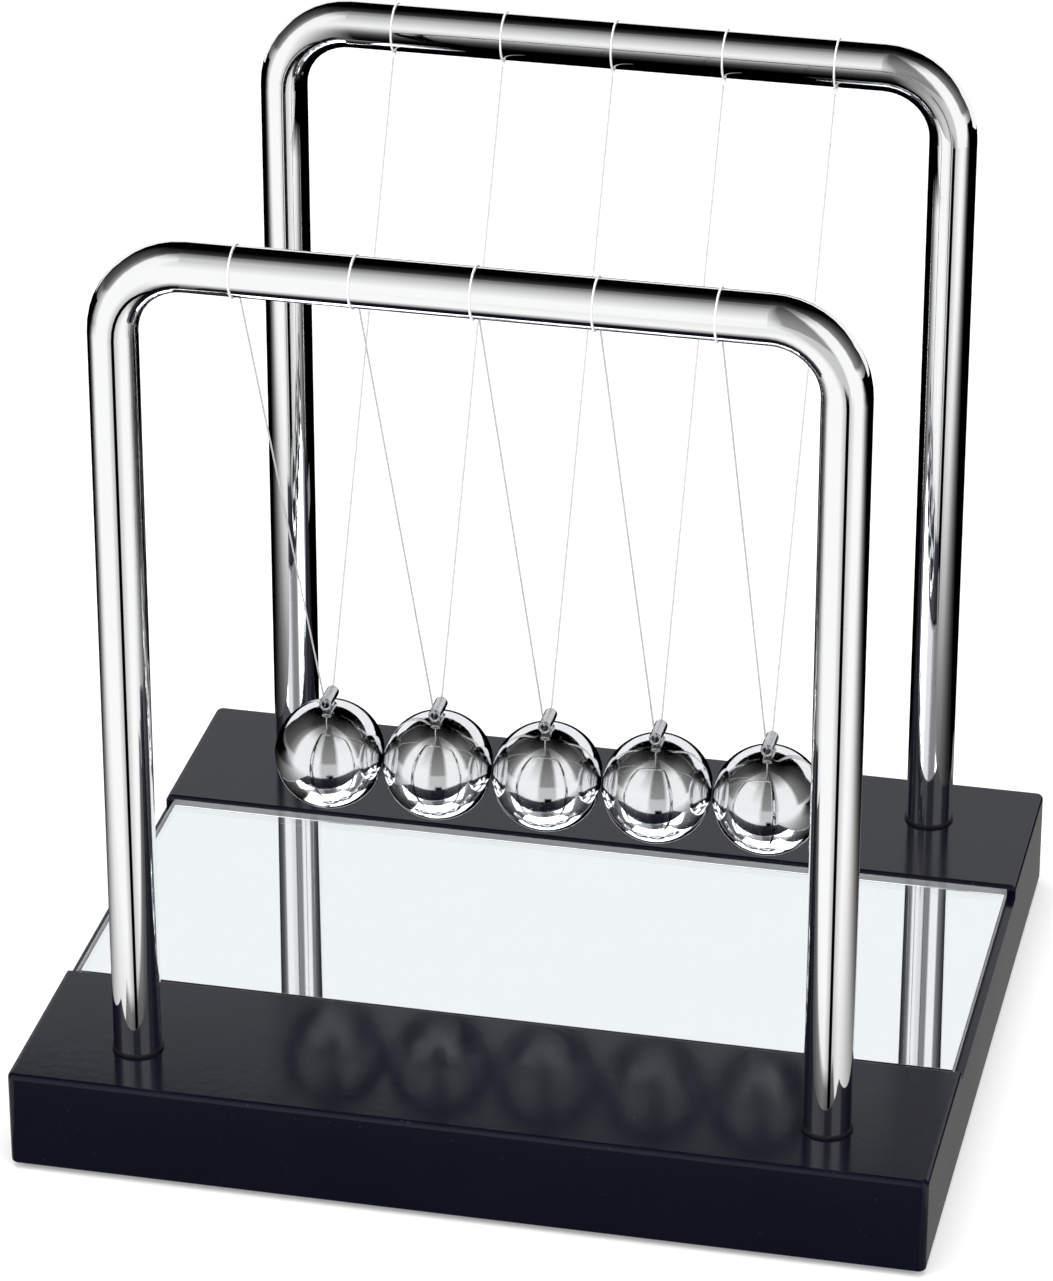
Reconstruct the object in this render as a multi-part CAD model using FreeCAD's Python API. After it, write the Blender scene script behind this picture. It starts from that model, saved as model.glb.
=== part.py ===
import FreeCAD, Part
import math
import os

Vector = FreeCAD.Vector
X, Y, Z = Vector(1, 0, 0), Vector(0, 1, 0), Vector(0, 0, 1)

# Desk toy with five steel balls hung in a row between two bent tube frames. Millimetres. +X runs
# along the row of balls, +Y to the back, +Z up. The origin is on the table under the middle ball.

# Base block
base_width = 180.0              # along X
base_depth = 156.0              # along Y
base_thickness = 20.0
base_corner_radius = 1.5        # the four upright corners
base_edge_radius = 1.0          # every edge of the two raised strips
base_lower_edge_radius = 0.6

# Pads under the base
pad_thickness = 1.2
pad_diameter = 12.0
pad_inset = 10.0                # pad centre to each side of the base

# Mirror, taped down in a channel that runs right across the base
channel_width = 73.0
channel_depth = 2.6
mirror_thickness = 2.0
mirror_end_setback = 1.8        # mirror end to the side of the base
mirror_side_clearance = 0.2
mirror_edge_radius = 0.25
mirror_backing = 0.05           # paint on the silvering, between mirror and tape, not drawn
tape_thickness = 0.2
tape_inset = 3.0                # tape edge to mirror edge

# Bent tube frames
tube_diameter = 9.5
tube_wall = 1.0
leg_inset_x = 22.0              # leg centre to the side of the base
leg_inset_y = 16.0              # leg centre to the front or back of the base
bar_rise = 166.5                # bar centre line above the top of the base
bend_radius = 14.0              # centre line
socket_depth = 8.0
socket_clearance = 0.05         # radial

# Screws, washers and threaded inserts that hold the legs from below
insert_length = 14.0
screw_diameter = 5.0
screw_length = 16.0
screw_tip_chamfer = 0.6
screw_hole_clearance = 0.25     # radial, in the base
thread_gap = 0.03               # radial, screw to insert
head_diameter = 9.5
head_height = 3.2
head_edge_radius = 1.2
recess_width = 1.2
recess_span = 5.0
recess_depth = 1.8
washer_diameter = 10.0
washer_thickness = 1.0
washer_clearance = 0.15         # radial, on the screw
counterbore_depth = 6.0
counterbore_clearance = 0.75    # radial, round the washer

# Rings round the legs, on top of the base
ring_height = 0.6
ring_wall = 0.25
ring_clearance = 0.02           # radial, on the tube
ring_edge_radius = 0.12

# Balls
ball_count = 5
ball_diameter = 22.2
ball_gap = 0.12                 # between neighbours at rest
ball_rise = 23.7                # underside of a ball above the top of the base

# Eyelets, small tubes brazed across the tops of the balls
eyelet_diameter = 2.6
eyelet_wall = 0.6
eyelet_length = 6.5
eyelet_lift = 0.1               # tube to ball, filled by the braze
braze_length = 4.4
braze_width = 1.8
braze_depth = 0.5               # how far down round the ball the braze is drawn before it is trimmed

# Lines and their loops round the bars
line_diameter = 0.35
line_clearance = 0.01
knot_diameter = 1.0
pivot_gap = 0.05                # knot to the end of the swinging line

# Worked out from the sizes above
base_bottom = pad_thickness
base_top = base_bottom + base_thickness
channel_floor = base_top - channel_depth
mirror_bottom = channel_floor + tape_thickness + mirror_backing
mirror_length = base_width - 2 * mirror_end_setback
mirror_width = channel_width - 2 * mirror_side_clearance
leg_x = base_width / 2 - leg_inset_x
leg_y = base_depth / 2 - leg_inset_y
tube_radius = tube_diameter / 2
tube_bore_radius = tube_radius - tube_wall
leg_foot = base_top - socket_depth
bar_z = base_top + bar_rise
counterbore_roof = base_bottom + counterbore_depth
counterbore_radius = washer_diameter / 2 + counterbore_clearance
screw_radius = screw_diameter / 2
head_top = counterbore_roof - washer_thickness
ball_radius = ball_diameter / 2
ball_z = base_top + ball_rise + ball_radius
ball_spacing = ball_diameter + ball_gap
eyelet_radius = eyelet_diameter / 2
eyelet_bore_radius = eyelet_radius - eyelet_wall
eyelet_z = ball_z + ball_radius + eyelet_lift + eyelet_radius
line_radius = line_diameter / 2
knot_radius = knot_diameter / 2

# The line turns round the rounded lip at each end of the eyelet, and from there it runs straight
# at the centre line of its bar. Y and Z of the lip's centre and of the bar, for the front half.
lip_radius = eyelet_wall / 2
lip_y = -(eyelet_length / 2 - lip_radius)
lip_z = eyelet_z + eyelet_bore_radius + lip_radius
line_bend_radius = lip_radius + line_clearance + line_radius
reach_y, reach_z = -leg_y - lip_y, bar_z - lip_z
reach = math.hypot(reach_y, reach_z)
run_to_bar = math.sqrt(reach ** 2 - line_bend_radius ** 2)
line_angle = math.atan2(reach_z, -reach_y) + math.atan2(line_bend_radius, run_to_bar)
line_lean = Vector(0, -math.cos(line_angle), math.sin(line_angle))    # up the front line
knot_distance = tube_radius + line_clearance + knot_radius
pivot_distance = knot_distance + knot_radius + pivot_gap + line_radius
line_run = run_to_bar - pivot_distance
pivot = Vector(0, -leg_y, bar_z) - line_lean * pivot_distance

# Room for a cutting tool to run past the face it cuts
overrun = 1.0

corners = {
    "front_left": (-leg_x, -leg_y),
    "front_right": (leg_x, -leg_y),
    "rear_left": (-leg_x, leg_y),
    "rear_right": (leg_x, leg_y),
}
ball_places = [(n + 1, (n - (ball_count - 1) / 2) * ball_spacing) for n in range(ball_count)]


def save(node, *solids):
    """Write one node, as one solid or as a group of separate solids."""
    shape = solids[0] if len(solids) == 1 else Part.makeCompound(list(solids))
    shape.exportStep(os.path.join("parts", node + ".step"))


def disc(centre, axis, radius):
    """A flat round face."""
    return Part.Face(Part.Wire(Part.makeCircle(radius, centre, axis)))


def ring(centre, axis, outer, inner):
    """A flat round face with a round hole."""
    return disc(centre, axis, outer).cut(disc(centre, axis, inner)).Faces[0]


def run(along):
    """A straight step for follow()."""
    return lambda face: (face.extrude(along), face.translated(along))


def turn(centre, axis, degrees):
    """A round bend for follow()."""
    def step(face):
        turned = face.copy()
        turned.rotate(centre, axis, degrees)
        return face.revolve(centre, axis, degrees), turned
    return step


def follow(face, steps):
    """Carry a flat section along runs and turns, as one solid."""
    stretches = []
    for step in steps:
        stretch, face = step(face)
        stretches.append(stretch)
    return stretches[0].multiFuse(stretches[1:]).removeSplitter().Solids[0]


def edges_at(shape, height):
    """The edges that lie flat at one height."""
    near = 1e-3
    return [e for e in shape.Edges
            if abs(e.BoundBox.ZMin - height) < near and abs(e.BoundBox.ZMax - height) < near]


def upright_edges(shape):
    """The straight edges that run up and down."""
    near = 1e-6
    return [e for e in shape.Edges
            if abs(e.Vertexes[0].X - e.Vertexes[-1].X) < near
            and abs(e.Vertexes[0].Y - e.Vertexes[-1].Y) < near]


def base_block():
    """The block, with its channel, and a socket, a screw hole and a counterbore for each leg."""
    low = Vector(-base_width / 2, -base_depth / 2, base_bottom)
    block = Part.makeBox(base_width, base_depth, base_thickness, low)
    block = block.makeFillet(base_corner_radius, upright_edges(block))
    channel = Part.makeBox(
        base_width + 2 * overrun, channel_width, channel_depth + overrun,
        Vector(-base_width / 2 - overrun, -channel_width / 2, channel_floor))
    block = block.cut(channel)
    block = block.makeFillet(base_edge_radius, edges_at(block, base_top))
    block = block.makeFillet(base_lower_edge_radius, edges_at(block, base_bottom))
    for x, y in corners.values():
        socket = Part.makeCylinder(
            tube_radius + socket_clearance, socket_depth + overrun, Vector(x, y, leg_foot))
        hole = Part.makeCylinder(
            screw_radius + screw_hole_clearance, base_thickness, Vector(x, y, base_bottom))
        counterbore = Part.makeCylinder(
            counterbore_radius, counterbore_depth + overrun, Vector(x, y, base_bottom - overrun))
        block = block.cut(socket).cut(hole).cut(counterbore)
    return block.Solids[0]


def mirror_plate():
    """The mirror, with its top edges ground round."""
    low = Vector(-mirror_length / 2, -mirror_width / 2, mirror_bottom)
    plate = Part.makeBox(mirror_length, mirror_width, mirror_thickness, low)
    return plate.makeFillet(mirror_edge_radius, edges_at(plate, mirror_bottom + mirror_thickness))


def mirror_tape():
    """The sheet of double-sided tape under the mirror."""
    length, width = mirror_length - 2 * tape_inset, mirror_width - 2 * tape_inset
    return Part.makeBox(length, width, tape_thickness, Vector(-length / 2, -width / 2, channel_floor))


def tube_frame(y):
    """One tube, bent twice: up the left leg, along the bar and down the right leg."""
    side = Z * (bar_z - bend_radius - leg_foot)
    bend_x, bend_z = leg_x - bend_radius, bar_z - bend_radius
    section = ring(Vector(-leg_x, y, leg_foot), Z, tube_radius, tube_bore_radius)
    return follow(section, [
        run(side),
        turn(Vector(-bend_x, y, bend_z), Y, 90),
        run(X * (2 * bend_x)),
        turn(Vector(bend_x, y, bend_z), Y, 90),
        run(side * -1),
    ])


def leg_insert(x, y):
    """The tapped plug pressed into the bottom of a leg."""
    section = ring(Vector(x, y, leg_foot), Z, tube_bore_radius, screw_radius + thread_gap)
    return section.extrude(Z * insert_length)


def frame_screw(x, y):
    """A pan-head screw with a cross recess, head down in its counterbore."""
    head = Part.makeCylinder(head_diameter / 2, head_height, Vector(x, y, head_top - head_height))
    head = head.makeFillet(head_edge_radius, edges_at(head, head_top - head_height))
    for across, along in ((recess_width, recess_span), (recess_span, recess_width)):
        corner = Vector(x - across / 2, y - along / 2, head_top - head_height - overrun)
        head = head.cut(Part.makeBox(across, along, recess_depth + overrun, corner))
    shank = Part.makeCylinder(screw_radius, screw_length, Vector(x, y, head_top))
    shank = shank.makeChamfer(screw_tip_chamfer, edges_at(shank, head_top + screw_length))
    return head.fuse(shank).removeSplitter().Solids[0]


def frame_washer(x, y):
    """The flat washer between a screw head and the base."""
    section = ring(Vector(x, y, head_top), Z, washer_diameter / 2, screw_radius + washer_clearance)
    return section.extrude(Z * washer_thickness)


def leg_ring(x, y):
    """The rubber ring round a leg, which hides the edge of its socket."""
    inner = tube_radius + ring_clearance
    section = ring(Vector(x, y, base_top), Z, inner + ring_wall, inner)
    band = section.extrude(Z * ring_height)
    return band.makeFillet(ring_edge_radius, edges_at(band, base_top + ring_height))


def pad(side_x, side_y):
    """One round pad stuck under a corner of the base."""
    x, y = side_x * (base_width / 2 - pad_inset), side_y * (base_depth / 2 - pad_inset)
    return Part.makeCylinder(pad_diameter / 2, pad_thickness, Vector(x, y, 0))


def ball(x):
    """One solid steel ball."""
    return Part.makeSphere(ball_radius, Vector(x, 0, ball_z))


def eyelet(x):
    """A short tube along Y with rounded lips, on a bead of braze that fits the ball."""
    outer, inner = eyelet_z + eyelet_radius, eyelet_z + eyelet_bore_radius
    outer_ends = Vector(x, lip_y, outer), Vector(x, -lip_y, outer)
    inner_ends = Vector(x, lip_y, inner), Vector(x, -lip_y, inner)
    lips = Vector(x, lip_y - lip_radius, lip_z), Vector(x, lip_radius - lip_y, lip_z)
    wall = Part.Wire([
        Part.LineSegment(*outer_ends).toShape(),
        Part.Arc(outer_ends[1], lips[1], inner_ends[1]).toShape(),
        Part.LineSegment(inner_ends[1], inner_ends[0]).toShape(),
        Part.Arc(inner_ends[0], lips[0], outer_ends[0]).toShape(),
    ])
    tube = Part.Face(wall).revolve(Vector(x, 0, eyelet_z), Y, 360)
    bead_low = ball_z + ball_radius - braze_depth
    bead_high = eyelet_z - eyelet_bore_radius - lip_radius
    outline = Part.Ellipse(
        Vector(x, braze_length / 2, bead_low), Vector(x + braze_width / 2, 0, bead_low),
        Vector(x, 0, bead_low))
    bead = Part.Face(Part.Wire(outline.toShape())).extrude(Z * (bead_high - bead_low))
    return tube.fuse(bead.cut(ball(x))).removeSplitter().Solids[0]


def hanging_line(x):
    """The line from the front knot, through the eyelet, to the rear knot."""
    bend = math.degrees(line_angle)
    down = line_lean * -line_run
    up = Vector(0, down.y, -down.z)
    section = disc(Vector(x, pivot.y, pivot.z), line_lean, line_radius)
    return follow(section, [
        run(down),
        turn(Vector(x, lip_y, lip_z), X, bend),
        run(Y * (-2 * lip_y)),
        turn(Vector(x, -lip_y, lip_z), X, bend),
        run(up),
    ])


def bar_loop(x, side_y):
    """The end of a line tied round a bar, with its knot below, towards the ball."""
    centre = Vector(x, side_y * leg_y, bar_z)
    towards_ball = Vector(0, side_y * line_lean.y, -line_lean.z)
    loop = Part.makeTorus(tube_radius + line_clearance + line_radius, line_radius, centre, X)
    loop.rotate(centre, X, 90)
    knot = Part.makeSphere(knot_radius, centre + towards_ball * knot_distance, Y)
    return loop.fuse(knot).removeSplitter().Solids[0]


os.makedirs("parts", exist_ok=True)

save("base_block", base_block())
save("mirror_plate", mirror_plate())
save("mirror_tape", mirror_tape())
save("front_frame", tube_frame(-leg_y))
save("rear_frame", tube_frame(leg_y))
for corner, (x, y) in corners.items():
    save("leg_insert_" + corner, leg_insert(x, y))
    save("leg_ring_" + corner, leg_ring(x, y))
    save("pad_" + corner, pad(math.copysign(1, x), math.copysign(1, y)))
save("frame_screws", *[frame_screw(x, y) for x, y in corners.values()])
save("frame_washers", *[frame_washer(x, y) for x, y in corners.values()])
for number, x in ball_places:
    save("ball_%d" % number, ball(x))
    save("eyelet_%d" % number, eyelet(x))
    save("line_%d" % number, hanging_line(x))
    save("front_loop_%d" % number, bar_loop(x, -1))
    save("rear_loop_%d" % number, bar_loop(x, 1))

bend_length = line_bend_radius * line_angle
line_length = 2 * (line_run + bend_length) - 2 * lip_y
print("line: bend radius %.3f, length %.2f, section times length %.3f, volume %.3f" % (
    line_bend_radius, line_length, math.pi * line_radius ** 2 * line_length, hanging_line(0).Volume))
print("swing axis: y %.3f, z %.3f, ball centre %.3f below" % (pivot.y, pivot.z, pivot.z - ball_z))
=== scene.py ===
"""Desk toy: five steel balls hung in a row between two bent tube frames, on a black base with a mirror.

The steel, wood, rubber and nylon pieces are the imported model's own. This file gives them their finishes and
sets them out in a small white studio. Metres: +X runs along the row of balls, +Y to the back, +Z up.
"""

import math

import bpy
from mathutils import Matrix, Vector

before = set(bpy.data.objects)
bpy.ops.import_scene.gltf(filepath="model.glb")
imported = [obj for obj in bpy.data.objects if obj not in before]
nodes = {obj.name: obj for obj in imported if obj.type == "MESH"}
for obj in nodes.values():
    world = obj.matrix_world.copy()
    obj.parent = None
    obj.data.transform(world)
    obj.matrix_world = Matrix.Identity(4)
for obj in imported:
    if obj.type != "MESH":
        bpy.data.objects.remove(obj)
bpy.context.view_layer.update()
scene = bpy.context.scene


# ---------------------------------------------------------------- Camera
# A long lens well above the toy and a little to its right, so that the frames stay nearly upright. It
# looks at a point between the two bars and a little behind the balls.
view_azimuth = math.radians(12.5)
view_elevation = math.radians(27.26)
view_distance = 1.1767
view_aim = Vector((-0.0116, 0.0329, 0.0685))
lens_mm = 162.6
film_width_mm = 36.0
nearest_seen = 0.01
furthest_seen = 20.0

towards_camera = Vector((
    math.sin(view_azimuth) * math.cos(view_elevation),
    -math.cos(view_azimuth) * math.cos(view_elevation),
    math.sin(view_elevation),
))
camera = bpy.data.objects.new("camera", bpy.data.cameras.new("camera"))
scene.collection.objects.link(camera)
scene.camera = camera
camera.data.lens = lens_mm
camera.data.sensor_width = film_width_mm
camera.data.clip_start = nearest_seen
camera.data.clip_end = furthest_seen
camera.location = view_aim + towards_camera * view_distance
camera.rotation_euler = (-towards_camera).to_track_quat("-Z", "Y").to_euler()


# ---------------------------------------------------------------- Studio
# A plain white room. In front of the toy hang two tall soft lights with a darker gap between them, and
# the ceiling and the back of the room are dark, which is what draws the black bands on the chrome.
room_white = (1.0, 1.0, 1.0, 1.0)
floor_reach = 3.0
floor_grey = 0.86


def grey(value):
    return (value, value, value, 1.0)


def ramp(tree, fac, stops):
    """A ramp of greys. Each stop is a position from 0 to 1 and a brightness."""
    node = tree.nodes.new("ShaderNodeValToRGB")
    elements = node.color_ramp.elements
    while len(elements) < len(stops):
        elements.new(0.5)
    for element, (position, value) in zip(elements, sorted(stops)):
        element.position = position
        element.color = grey(value)
    tree.links.new(fac, node.inputs["Fac"])
    return node.outputs["Color"]


def maths(tree, operation, *values):
    """One Math node. A value is a socket or a number."""
    node = tree.nodes.new("ShaderNodeMath")
    node.operation = operation
    for slot, value in zip(node.inputs, values):
        if isinstance(value, (int, float)):
            slot.default_value = value
        else:
            tree.links.new(value, slot)
    return node.outputs["Value"]


def mix_colour(tree, fac, first, second, blend="MIX"):
    """A blend of two colours, from the first at 0 to the second at 1."""
    node = tree.nodes.new("ShaderNodeMix")
    node.data_type = "RGBA"
    node.blend_type = blend
    inputs = {socket.identifier: socket for socket in node.inputs}
    for slot, value in (("Factor_Float", fac), ("A_Color", first), ("B_Color", second)):
        if isinstance(value, bpy.types.NodeSocket):
            tree.links.new(value, inputs[slot])
        else:
            inputs[slot].default_value = value
    return next(socket for socket in node.outputs if socket.identifier == "Result_Color")


world = bpy.data.worlds.new("studio")
scene.world = world
world.use_nodes = True
room = world.node_tree
room.nodes.clear()
direction = room.nodes.new("ShaderNodeTexCoord").outputs["Generated"]
turned = room.nodes.new("ShaderNodeMapping")
turned.vector_type = "POINT"
turned.inputs["Rotation"].default_value = (0.0, 0.0, -view_azimuth)
room.links.new(direction, turned.inputs["Vector"])
split = room.nodes.new("ShaderNodeSeparateXYZ")
room.links.new(turned.outputs["Vector"], split.inputs["Vector"])
to_right, to_back, up = split.outputs
heading = maths(room, "ARCTAN2", to_right, maths(room, "MULTIPLY", to_back, -1.0))
heading = maths(room, "ADD", maths(room, "DIVIDE", heading, 2 * math.pi), 0.5)
rise = maths(room, "ADD", maths(room, "DIVIDE", maths(room, "ARCSINE", up), math.pi), 0.5)


def by_heading(*stops):
    """Brightness by degrees to the right of the camera, as the toy sees it."""
    return ramp(room, heading, [(degrees / 360.0 + 0.5, value) for degrees, value in stops])


def by_rise(*stops):
    """Brightness by degrees above the horizon."""
    return ramp(room, rise, [(degrees / 180.0 + 0.5, value) for degrees, value in stops])


# Round the room: the two tall lights high up, the paler band at the horizon, and the floor below.
lights_round = by_heading(
    (-150, 0.0), (-100, 0.1), (-82, 0.3), (-74, 1.0), (-21, 1.0), (-14, 0.3), (12, 0.3), (20, 1.0),
    (56, 1.0), (64, 0.25), (100, 0.06), (130, 0.0))
band_round = by_heading(
    (-150, 0.0), (-110, 0.2), (-86, 0.6), (-74, 1.0), (-22, 1.0), (-16, 0.62), (14, 0.6), (19, 1.0),
    (64, 1.0), (90, 0.3), (120, 0.0))
below_round = by_heading(
    (-160, 0.6), (-120, 1.0), (-28, 1.0), (-16, 0.72), (-7, 0.55), (-5.5, 0.0), (7, 0.0), (8.5, 0.62),
    (22, 0.8), (34, 1.0), (100, 1.0), (140, 0.8))

# Up the room: the lights stay full higher up than the gap between them does.
fade_core = by_rise(
    (-90, 0.0), (-75, 0.05), (-64, 0.4), (-52, 1.0), (12, 1.0), (45, 0.95), (55, 0.7), (62, 0.42),
    (73, 0.2), (84, 0.08), (90, 0.03))
fade_gap = by_rise(
    (-90, 0.0), (-75, 0.05), (-64, 0.4), (-52, 1.0), (12, 1.0), (22, 0.9), (32, 0.8), (42, 0.68),
    (52, 0.56), (62, 0.42), (73, 0.24), (84, 0.1), (90, 0.04))
is_core = by_heading((-120, 1.0), (-44, 1.0), (-34, 0.0), (16, 0.0), (20, 1.0))
fade_up = mix_colour(room, is_core, fade_gap, fade_core)
is_above = by_rise((2, 0.0), (6, 1.0))
is_below = by_rise((-22, 1.0), (-18, 0.0))
lights = mix_colour(room, is_above, band_round, lights_round)
lights = mix_colour(room, is_below, lights, below_round)
lights = mix_colour(room, fade_up, grey(0.0), lights)
ceiling = by_rise((62, 0.0), (75, 0.01), (90, 0.045))
glow = mix_colour(room, 1.0, lights, ceiling, "ADD")
ray = room.nodes.new("ShaderNodeLightPath")
seen = mix_colour(room, ray.outputs["Is Camera Ray"], glow, room_white)
air = room.nodes.new("ShaderNodeBackground")
room.links.new(seen, air.inputs["Color"])
out = room.nodes.new("ShaderNodeOutputWorld")
room.links.new(air.outputs["Background"], out.inputs["Surface"])


def sheet(name, corners, material):
    """A flat four-sided sheet for the studio."""
    mesh = bpy.data.meshes.new(name)
    mesh.from_pydata(corners, [], [(0, 1, 2, 3)])
    mesh.materials.append(material)
    made = bpy.data.objects.new(name, mesh)
    scene.collection.objects.link(made)
    return made


def glowing(name, brightness, colour=(1.0, 1.0, 1.0)):
    """A card that gives out its own even light."""
    material = bpy.data.materials.new(name)
    material.use_nodes = True
    tree = material.node_tree
    tree.nodes.clear()
    shine = tree.nodes.new("ShaderNodeEmission")
    shine.inputs["Color"].default_value = (*colour, 1.0)
    shine.inputs["Strength"].default_value = brightness
    end = tree.nodes.new("ShaderNodeOutputMaterial")
    tree.links.new(shine.outputs["Emission"], end.inputs["Surface"])
    return material


def only_reflected(card):
    """A card that shows in the gloss of the toy, and nowhere else."""
    card.visible_camera = False
    card.visible_diffuse = False
    card.visible_transmission = False
    card.visible_shadow = False


def flat(x0, x1, y0, y1, z):
    """The corners of a level sheet."""
    return [(x0, y0, z), (x1, y0, z), (x1, y1, z), (x0, y1, z)]


def upright(reach, y, low, high):
    """The corners of an upright sheet that faces the front, from -reach to reach."""
    return [(-reach, y, low), (reach, y, low), (reach, y, high), (-reach, y, high)]


# The floor is a pale matt sheet with a glow of its own that grows away from the toy, up to plain white.
floor_paint = bpy.data.materials.new("studio_floor")
floor_paint.use_nodes = True
floor_tree = floor_paint.node_tree
floor_surface = floor_tree.nodes["Principled BSDF"]
floor_surface.inputs["Base Color"].default_value = grey(floor_grey)
floor_surface.inputs["Roughness"].default_value = 0.9
floor_surface.inputs["Specular IOR Level"].default_value = 0.0
floor_surface.inputs["Emission Color"].default_value = room_white
place = floor_tree.nodes.new("ShaderNodeTexCoord").outputs["Object"]
away = floor_tree.nodes.new("ShaderNodeVectorMath")
away.operation = "LENGTH"
floor_tree.links.new(place, away.inputs[0])
away = maths(floor_tree, "DIVIDE", away.outputs["Value"], floor_reach)
away = ramp(floor_tree, away, [(0.1, 0.22), (0.3, 0.5), (0.5, 0.9), (1.0, 1.0)])
floor_tree.links.new(away, floor_surface.inputs["Emission Strength"])
floor = sheet("studio_floor", flat(-floor_reach, floor_reach, -floor_reach, floor_reach, 0.0), floor_paint)
floor.visible_glossy = False


def shaded(name, stops, across, ends=None):
    """A card that dims what lies beyond it, by a ramp of places along one axis, in metres.

    With ends, it also thins out between those two distances from the middle, along X.
    """
    material = bpy.data.materials.new(name)
    material.use_nodes = True
    tree = material.node_tree
    tree.nodes.clear()
    split = tree.nodes.new("ShaderNodeSeparateXYZ")
    tree.links.new(tree.nodes.new("ShaderNodeTexCoord").outputs["Object"], split.inputs["Vector"])
    low, high = stops[0][0], stops[-1][0]
    along = tree.nodes.new("ShaderNodeMapRange")
    for slot, number in zip(along.inputs[1:5], (low, high, 0.0, 1.0)):
        slot.default_value = number
    tree.links.new(split.outputs[across], along.inputs["Value"])
    tint = ramp(tree, along.outputs["Result"], [((a - low) / (high - low), v) for a, v in stops])
    if ends:
        near, far = ends
        aside = maths(tree, "DIVIDE", maths(tree, "ABSOLUTE", split.outputs["X"]), far)
        tint = mix_colour(tree, ramp(tree, aside, [(near / far, 1.0), (1.0, 0.0)]), grey(1.0), tint)
    clear = tree.nodes.new("ShaderNodeBsdfTransparent")
    tree.links.new(tint, clear.inputs["Color"])
    end = tree.nodes.new("ShaderNodeOutputMaterial")
    tree.links.new(clear.outputs["BSDF"], end.inputs["Surface"])
    return material


# A white card behind the toy, which the mirror shows, and a dimmer one lying on the floor at its right.
cool_white = (0.975, 0.987, 1.0)
back_card = sheet(
    "studio_back_card", upright(0.6, 0.4, 0.06, 0.33), glowing("studio_card_white", 0.98, cool_white))
only_reflected(back_card)
back_card.visible_transmission = True
only_reflected(sheet(
    "studio_side_card", flat(0.09, 0.112, -0.1, 0.13, 0.0006), glowing("studio_card_side", 0.25)))

# Two dark cards lie on the floor: one just in front of the base, and one that darkens towards the back.
only_reflected(sheet("studio_front_card", flat(-0.1, 0.1, -0.126, -0.078, 0.0004), shaded(
    "studio_card_dark", [(-0.126, 1.0), (-0.118, 0.25), (-0.1, 0.12), (-0.078, 0.12)], "Y")))
only_reflected(sheet(
    "studio_floor_card", flat(-floor_reach, floor_reach, -floor_reach, floor_reach, 0.0002), shaded(
        "studio_card_floor", [(-0.15, 1.0), (-0.1, 0.82), (-0.075, 0.65), (-0.05, 0.48), (-0.016, 0.26),
                              (0.02, 0.12), (0.06, 0.03), (0.1, 0.0)], "Y")))

# A flag just in front of the back bar, which lets its underside fall away into black. It thins out to
# nothing at the bends, and its lower half and the lip under the bar do so sooner, to spare the legs.
flag_y = 0.05
flag_low = shaded("studio_flag_low", [(0.155, 0.0), (0.172, 0.0)], "Z", (0.036, 0.057))
flag_high = shaded("studio_flag_high", [
    (0.172, 0.0), (0.1755, 0.001), (0.1805, 0.009), (0.1838, 0.053), (0.1862, 0.19), (0.1883, 0.5),
    (0.1904, 0.83), (0.192, 1.0)], "Z", (0.055, 0.07))
only_reflected(sheet("studio_flag_high", upright(0.07, flag_y, 0.172, 0.192), flag_high))
only_reflected(sheet("studio_flag_low", upright(0.057, flag_y, 0.155, 0.172), flag_low))
only_reflected(sheet("studio_flag_lip", flat(-0.057, 0.057, 0.043, 0.066, 0.1552), flag_low))


light_aim = Vector((0.0, 0.0, 0.05))


def soft_light(name, place, size, watts):
    """A large square light that points at the toy and doesn't show in its gloss."""
    lamp = bpy.data.lights.new(name, "AREA")
    lamp.shape = "SQUARE"
    lamp.size = size
    lamp.energy = watts
    made = bpy.data.objects.new(name, lamp)
    scene.collection.objects.link(made)
    made.location = place
    made.rotation_euler = (light_aim - Vector(place)).to_track_quat("-Z", "Y").to_euler()
    made.visible_glossy = False


soft_light("studio_top", (0.0, 0.1, 1.6), 1.6, 25.0)
soft_light("studio_left", (-1.1, -0.9, 1.1), 1.0, 10.0)
soft_light("studio_right", (1.1, -0.9, 1.1), 1.0, 10.0)
scene.view_settings.view_transform = "Standard"


# ---------------------------------------------------------------- Base
# The base is a block of fibreboard, routed out across its width for the mirror, then sprayed with black
# gloss lacquer and polished. The lacquer has a faint orange peel and a little dust.
def finish(name, colour, metal, rough):
    """A new material with one surface shader, and where its texture starts, in metres."""
    material = bpy.data.materials.new(name)
    material.use_nodes = True
    tree = material.node_tree
    surface = tree.nodes["Principled BSDF"]
    surface.inputs["Base Color"].default_value = (*colour, 1.0)
    surface.inputs["Metallic"].default_value = metal
    surface.inputs["Roughness"].default_value = rough
    place = tree.nodes.new("ShaderNodeTexCoord").outputs["Object"]
    return material, tree, surface, place


def noise(tree, place, scale, detail=4.0, rough=0.5, stretch=(1.0, 1.0, 1.0)):
    """A cloudy pattern with that many waves to the metre."""
    if stretch != (1.0, 1.0, 1.0):
        scaled = tree.nodes.new("ShaderNodeMapping")
        scaled.inputs["Scale"].default_value = stretch
        tree.links.new(place, scaled.inputs["Vector"])
        place = scaled.outputs["Vector"]
    node = tree.nodes.new("ShaderNodeTexNoise")
    node.inputs["Scale"].default_value = scale
    node.inputs["Detail"].default_value = detail
    node.inputs["Roughness"].default_value = rough
    tree.links.new(place, node.inputs["Vector"])
    return node.outputs["Fac"]


def spread(tree, value, low, high, to_low, to_high):
    """A value moved from one range to another, and held at its ends."""
    node = tree.nodes.new("ShaderNodeMapRange")
    for slot, number in zip(node.inputs[1:5], (low, high, to_low, to_high)):
        slot.default_value = number
    tree.links.new(value, node.inputs["Value"])
    return node.outputs["Result"]


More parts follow.
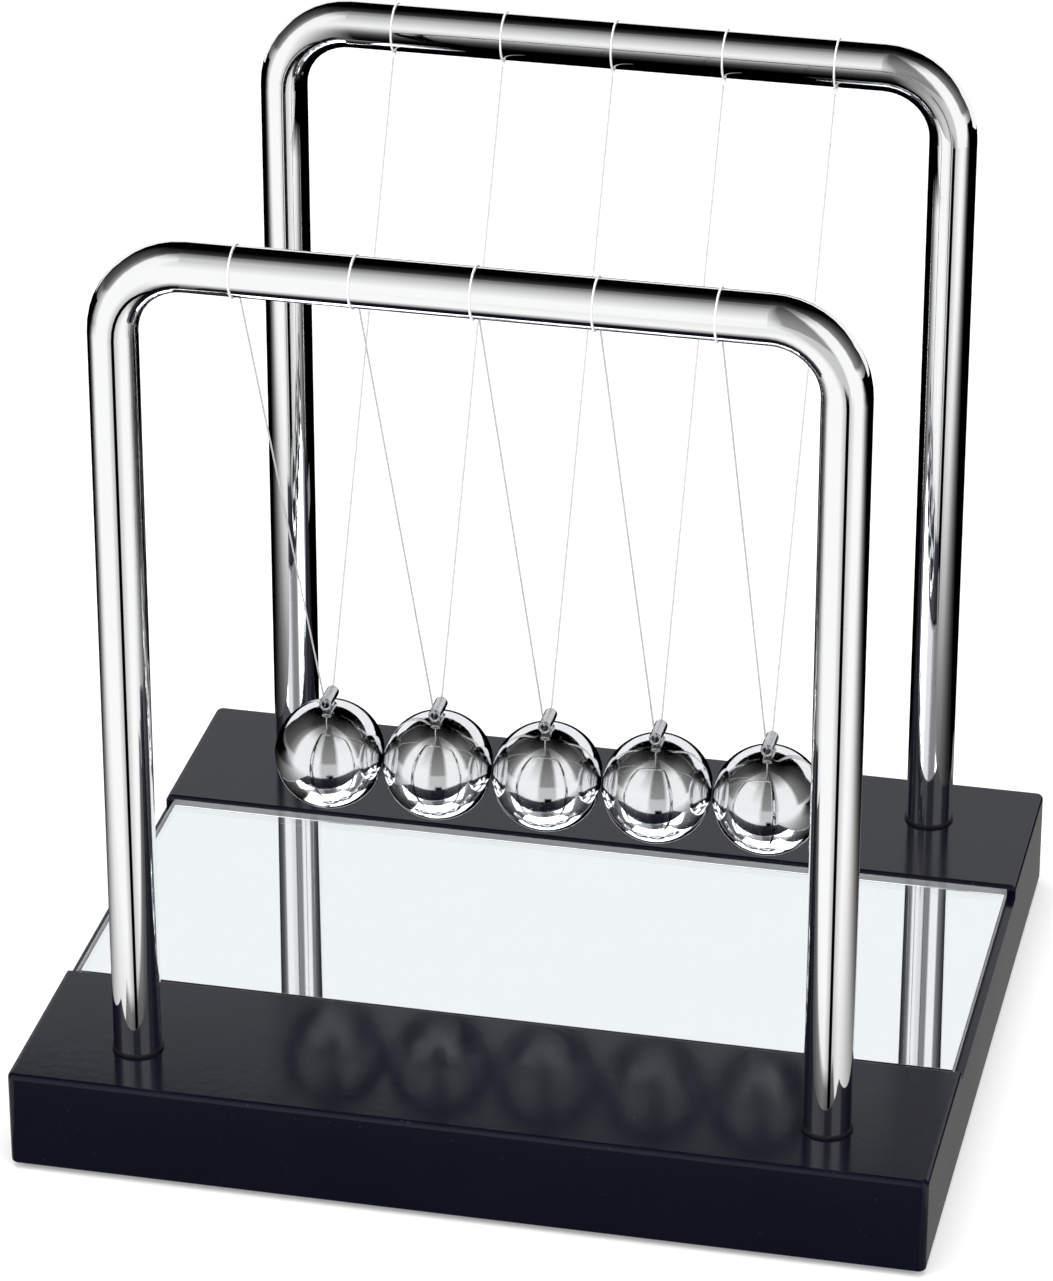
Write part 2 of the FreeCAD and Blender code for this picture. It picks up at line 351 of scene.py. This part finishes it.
def bump(tree, surface, height, depth):
    """Raises the surface by a pattern. Depth is in metres."""
    node = tree.nodes.new("ShaderNodeBump")
    node.inputs["Strength"].default_value = 1.0
    node.inputs["Distance"].default_value = depth
    tree.links.new(height, node.inputs["Height"])
    tree.links.new(node.outputs["Normal"], surface.inputs["Normal"])


def colour_by(tree, surface, pattern, first, second):
    """Colours the surface from the first colour to the second, by a pattern."""
    tone = mix_colour(tree, pattern, (*first, 1.0), (*second, 1.0))
    tree.links.new(tone, surface.inputs["Base Color"])


def roughen(tree, surface, pattern, smooth, rough, low=0.3, high=0.7):
    """Makes the surface rougher where a pattern is high, from low to high."""
    tree.links.new(spread(tree, pattern, low, high, smooth, rough), surface.inputs["Roughness"])


def paint(material, *names):
    """Gives the named pieces this one finish."""
    for name in names:
        mesh = nodes[name].data
        mesh.materials.clear()
        mesh.materials.append(material)


orange_peel = 0.000012  # metres deep, as are the other textures below
dust_colour = (0.25, 0.25, 0.27, 1.0)
lacquer, tree, surface, place = finish("black_lacquer", (0.0035, 0.0038, 0.0075), 0.0, 0.12)
surface.inputs["IOR"].default_value = 1.335
cloud = noise(tree, place, 28.0, 5.0, 0.55)
fine = noise(tree, place, 900.0, 2.0, 0.6)
specks = spread(tree, noise(tree, place, 1500.0, 1.0, 0.5), 0.74, 0.8, 0.0, 1.0)
tone = mix_colour(tree, cloud, (0.0020, 0.0026, 0.0070, 1.0), (0.0040, 0.0048, 0.0115, 1.0))
tone = mix_colour(tree, maths(tree, "MULTIPLY", specks, 0.12), tone, dust_colour)
tree.links.new(tone, surface.inputs["Base Color"])
haze = maths(tree, "ADD", spread(tree, cloud, 0.3, 0.7, 0.11, 0.17), maths(tree, "MULTIPLY", fine, 0.02))
tree.links.new(haze, surface.inputs["Roughness"])
bump(tree, surface, noise(tree, place, 420.0, 2.0, 0.5), orange_peel)
paint(lacquer, "base_block")


# ---------------------------------------------------------------- Mirror
# A strip of mirror lies in the routed channel on double-sided tape: clear glass, silvered underneath, with
# its sides ground to a grey frost. The far side shows through the glass as a thin grey line.
smear_stretch = (1.0, 3.0, 1.0)
grit_depth = 0.00002
foam_depth = 0.00004
facing_down = -0.9
facing_sideways = 0.1

glass, tree, surface, place = finish("mirror_glass", (0.98, 0.99, 0.99), 0.0, 0.0)
surface.inputs["Transmission Weight"].default_value = 1.0
surface.inputs["IOR"].default_value = 1.5
smear = noise(tree, place, 35.0, 6.0, 0.6, smear_stretch)
roughen(tree, surface, smear, 0.0, 0.02, 0.4, 0.8)

silver, tree, surface, place = finish("mirror_silver", (0.93, 0.95, 0.965), 1.0, 0.01)
smear = noise(tree, place, 35.0, 6.0, 0.6, smear_stretch)
colour_by(tree, surface, smear, (0.935, 0.955, 0.97), (0.92, 0.94, 0.955))

ground, tree, surface, place = finish("mirror_ground_edge", (0.42, 0.44, 0.45), 0.0, 0.6)
grit = noise(tree, place, 1600.0, 3.0, 0.6)
colour_by(tree, surface, grit, (0.36, 0.38, 0.39), (0.5, 0.52, 0.53))
bump(tree, surface, grit, grit_depth)

plate = nodes["mirror_plate"].data
plate.materials.clear()
for layer in (glass, silver, ground):
    plate.materials.append(layer)
for polygon in plate.polygons:
    if polygon.normal.z < facing_down:
        polygon.material_index = 1
    elif abs(polygon.normal.z) < facing_sideways:
        polygon.material_index = 2
    else:
        polygon.material_index = 0

tape, tree, surface, place = finish("mounting_tape", (0.7, 0.69, 0.65), 0.0, 0.8)
cells = noise(tree, place, 2500.0, 2.0, 0.6)
colour_by(tree, surface, cells, (0.6, 0.59, 0.55), (0.78, 0.77, 0.73))
bump(tree, surface, cells, foam_depth)
paint(tape, "mirror_tape")


# ---------------------------------------------------------------- Frames
# Each frame is one steel tube, bent twice, polished and chrome plated. The plating is smooth, with the
# faintest waves and polishing lines along the tube.
plating_wave = 0.000004
chrome, tree, surface, place = finish("frame_chrome", (0.94, 0.945, 0.95), 1.0, 0.03)
lines = noise(tree, place, 700.0, 3.0, 0.6)
wave = noise(tree, place, 60.0, 2.0, 0.5)
roughen(tree, surface, lines, 0.02, 0.045)
colour_by(tree, surface, wave, (0.925, 0.93, 0.94), (0.955, 0.96, 0.965))
bump(tree, surface, wave, plating_wave)
paint(chrome, "front_frame", "rear_frame")


# ---------------------------------------------------------------- Rings, pads and hidden hardware
# Thin black rubber rings hide the joint between the legs and the base, and rubber pads are stuck below.
# From below, zinc-plated screws and washers pull the legs down by brass inserts pressed into the tubes.
corners = ("front_left", "front_right", "rear_left", "rear_right")
rubber_grain = 0.00002
zinc_grain = 0.00001

rubber, tree, surface, place = finish("black_rubber", (0.006, 0.006, 0.007), 0.0, 0.6)
grain = noise(tree, place, 1800.0, 3.0, 0.6)
colour_by(tree, surface, grain, (0.004, 0.004, 0.005), (0.009, 0.009, 0.010))
roughen(tree, surface, grain, 0.45, 0.65)
bump(tree, surface, grain, rubber_grain)
paint(rubber, *["leg_ring_" + c for c in corners], *["pad_" + c for c in corners])

zinc, tree, surface, place = finish("zinc_steel", (0.66, 0.68, 0.7), 1.0, 0.3)
patches = noise(tree, place, 500.0, 4.0, 0.6)
colour_by(tree, surface, patches, (0.55, 0.58, 0.62), (0.75, 0.75, 0.73))
roughen(tree, surface, patches, 0.22, 0.4)
bump(tree, surface, noise(tree, place, 3000.0, 2.0, 0.5), zinc_grain)
paint(zinc, "frame_screws", "frame_washers")

brass, tree, surface, place = finish("insert_brass", (0.72, 0.52, 0.22), 1.0, 0.28)
turning = noise(tree, place, 900.0, 2.0, 0.5, (1.0, 1.0, 6.0))
colour_by(tree, surface, turning, (0.62, 0.43, 0.17), (0.8, 0.6, 0.28))
roughen(tree, surface, turning, 0.2, 0.36)
paint(brass, *["leg_insert_" + c for c in corners])


# ---------------------------------------------------------------- Balls
# The balls are bearing steel, ground and polished like mirrors. Handling and knocking leave fine streaks
# and small dull spots that haze the reflections.
numbers = range(1, 6)
streak_depth = 0.000002
steel, tree, surface, place = finish("ball_steel", (0.86, 0.87, 0.88), 1.0, 0.05)
smear = noise(tree, place, 160.0, 6.0, 0.65, (1.0, 1.0, 2.5))
streaks = noise(tree, place, 900.0, 4.0, 0.7, (1.0, 1.0, 0.12))
specks = spread(tree, noise(tree, place, 1800.0, 2.0, 0.6), 0.6, 0.68, 0.0, 1.0)
rough = spread(tree, smear, 0.4, 0.75, 0.02, 0.09)
rough = maths(tree, "ADD", rough, spread(tree, streaks, 0.5, 0.7, 0.0, 0.1))
rough = maths(tree, "ADD", rough, maths(tree, "MULTIPLY", specks, 0.18))
tree.links.new(rough, surface.inputs["Roughness"])
colour_by(tree, surface, smear, (0.9, 0.91, 0.92), (0.8, 0.81, 0.82))
bump(tree, surface, streaks, streak_depth)
paint(steel, *["ball_%d" % n for n in numbers])


# ---------------------------------------------------------------- Eyelets
# A short piece of plated tube is brazed across the top of each ball for the line to run through. The
# braze leaves it duller than the ball.
braze_depth = 0.00002
plated, tree, surface, place = finish("eyelet_steel", (0.7, 0.71, 0.72), 1.0, 0.16)
cloud = noise(tree, place, 900.0, 4.0, 0.6)
colour_by(tree, surface, cloud, (0.4, 0.41, 0.42), (0.76, 0.77, 0.78))
roughen(tree, surface, cloud, 0.08, 0.26)
bump(tree, surface, cloud, braze_depth)
paint(plated, *["eyelet_%d" % n for n in numbers])


# ---------------------------------------------------------------- Lines and loops
# One length of clear nylon line hangs each ball as a V, and is tied off round both bars. Both are the same
# clear nylon: the hanging line's pale grey is painted shade, and the loops' near-white is painted light.
# Painted shade: the clear line is given a grey colour for how it looks against white.
nylon, tree, surface, place = finish("nylon_line", (0.6, 0.6, 0.61), 0.0, 0.25)
surface.inputs["Transmission Weight"].default_value = 0.35
surface.inputs["IOR"].default_value = 1.53
drawn = noise(tree, place, 1200.0, 2.0, 0.5)
colour_by(tree, surface, drawn, (0.62, 0.62, 0.63), (0.74, 0.74, 0.75))
paint(nylon, *["line_%d" % n for n in numbers])

# Painted light: the loops, of the same clear nylon, are given a near-white colour for how they look against
# the chrome.
tied, tree, surface, place = finish("nylon_loop_painted_light", (0.85, 0.85, 0.86), 0.0, 0.2)
drawn = noise(tree, place, 1500.0, 2.0, 0.5)
colour_by(tree, surface, drawn, (0.8, 0.8, 0.81), (0.95, 0.95, 0.96))
paint(tied, *["%s_loop_%d" % (side, n) for side in ("front", "rear") for n in numbers])
